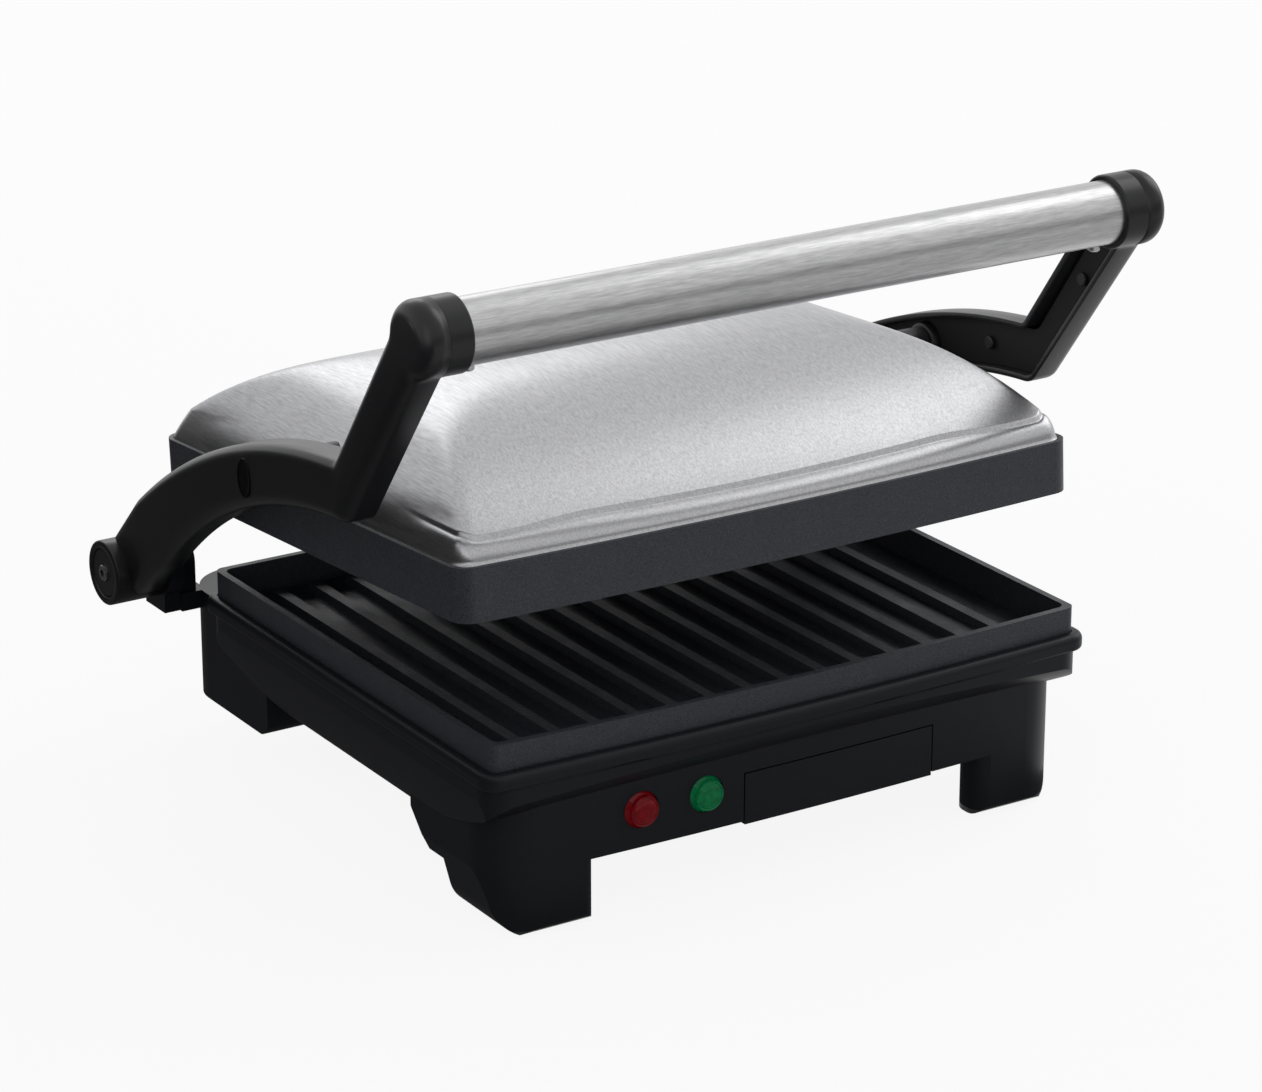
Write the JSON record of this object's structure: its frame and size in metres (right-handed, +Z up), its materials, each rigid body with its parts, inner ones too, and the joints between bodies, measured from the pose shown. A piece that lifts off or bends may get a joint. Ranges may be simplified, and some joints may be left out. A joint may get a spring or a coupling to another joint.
{
  "type": "panini press",
  "caption": "Two-plate contact grill with a floating lid on curved arms, a cross-tube handle, ribbed plates and a drip tray.",
  "frame": {"origin": "on the table, under the middle of the overall width and depth, lid raised as at rest", "axes": "+X to the press's right as the cook faces it, +Y towards its hinge at the back, +Z up"},
  "size_m": [0.3578, 0.2832, 0.266],
  "materials": {
    "housing_plastic": "satin charcoal black moulded plastic",
    "cover_plastic": "matt black moulded plastic",
    "arm_plastic": "glossy black moulded plastic",
    "grill_coating": "hammered blue-black non-stick coating on cast aluminium",
    "lid_steel": "brushed stainless steel sheet",
    "tube_steel": "steel tube brushed along its length",
    "reflector_steel": "bright aluminised sheet",
    "element_steel": "dull heating element sheath",
    "bracket_steel": "plain bracket steel",
    "pin_steel": "ground steel pin",
    "screw_steel": "plated screw",
    "bush_brass": "turned brass",
    "foot_rubber": "black rubber",
    "red_lens": "translucent red lens",
    "green_lens": "translucent green lens",
    "lamp_glass": "clear neon lamp",
    "terminal_plastic": "pale terminal block plastic"
  },
  "bodies": {
    "base": {"base_housing": "housing_plastic", "bottom_cover": "cover_plastic", "lower_grill_plate": "grill_coating", "lower_reflector": "reflector_steel", "lower_heating_element": "element_steel", "lower_element_clips": "bracket_steel", "lower_thermostat": "terminal_plastic", "thermal_fuse": "terminal_plastic", "terminal_block": "terminal_plastic", "cord_gland": "cover_plastic", "power_light_lens": "red_lens", "ready_light_lens": "green_lens", "indicator_lamps": "lamp_glass", "rubber_feet": "foot_rubber", "cover_screws": "screw_steel", "plate_screws": "screw_steel", "hinge_bushes": "bush_brass"},
    "drip_tray": {"drip_tray": "housing_plastic"},
    "hinge_pins": {"left_hinge_pin": "pin_steel", "right_hinge_pin": "pin_steel"},
    "arms": {"left_arm_shell": "arm_plastic", "right_arm_shell": "arm_plastic", "left_arm_cover": "arm_plastic", "right_arm_cover": "arm_plastic", "arm_cover_screws": "screw_steel", "left_hinge_cap": "arm_plastic", "right_hinge_cap": "arm_plastic", "hinge_cap_screws": "screw_steel", "left_ferrule": "arm_plastic", "right_ferrule": "arm_plastic", "handle_tube": "tube_steel", "handle_screws": "screw_steel"},
    "pivot_pins": {"left_pivot_pin": "pin_steel", "right_pivot_pin": "pin_steel"},
    "lid": {"upper_grill_plate": "grill_coating", "lid_cover": "lid_steel", "upper_reflector": "reflector_steel", "upper_heating_element": "element_steel", "upper_element_clips": "bracket_steel", "upper_cutout": "terminal_plastic", "left_pivot_bracket": "bracket_steel", "right_pivot_bracket": "bracket_steel", "bracket_screws": "screw_steel", "reflector_screws": "screw_steel", "lid_screws": "screw_steel"}
  },
  "joints": [
    {"name": "drip_tray_slide", "type": "slide", "parent": "base", "child": "drip_tray", "axis": [0, -1, 0], "range_m": [0, 0.11]},
    {"name": "press", "type": "hinge", "parent": "base", "child": "hinge_pins", "pos_m": [0, 0.1266, 0.0823], "axis": [-1, 0, 0], "range_deg": [-20.4, 0]},
    {"name": "open", "type": "hinge", "parent": "hinge_pins", "child": "arms", "pos_m": [0, 0.1266, 0.0823], "axis": [-1, 0, 0], "range_deg": [0, 159]},
    {"name": "lid_level_a", "type": "hinge", "parent": "arms", "child": "pivot_pins", "pos_m": [0, 0.0044, 0.1598], "axis": [-1, 0, 0], "range_deg": [0, 16.6]},
    {"name": "lid_level_b", "type": "hinge", "parent": "pivot_pins", "child": "lid", "pos_m": [0, 0.0044, 0.1598], "axis": [-1, 0, 0], "range_deg": [0, 17.2]}
  ],
  "couplings": [
    {"joint": "lid_level_a", "follows": "press", "ratio": -0.80784},
    {"joint": "lid_level_b", "follows": "open", "ratio": 0.10742}
  ]
}
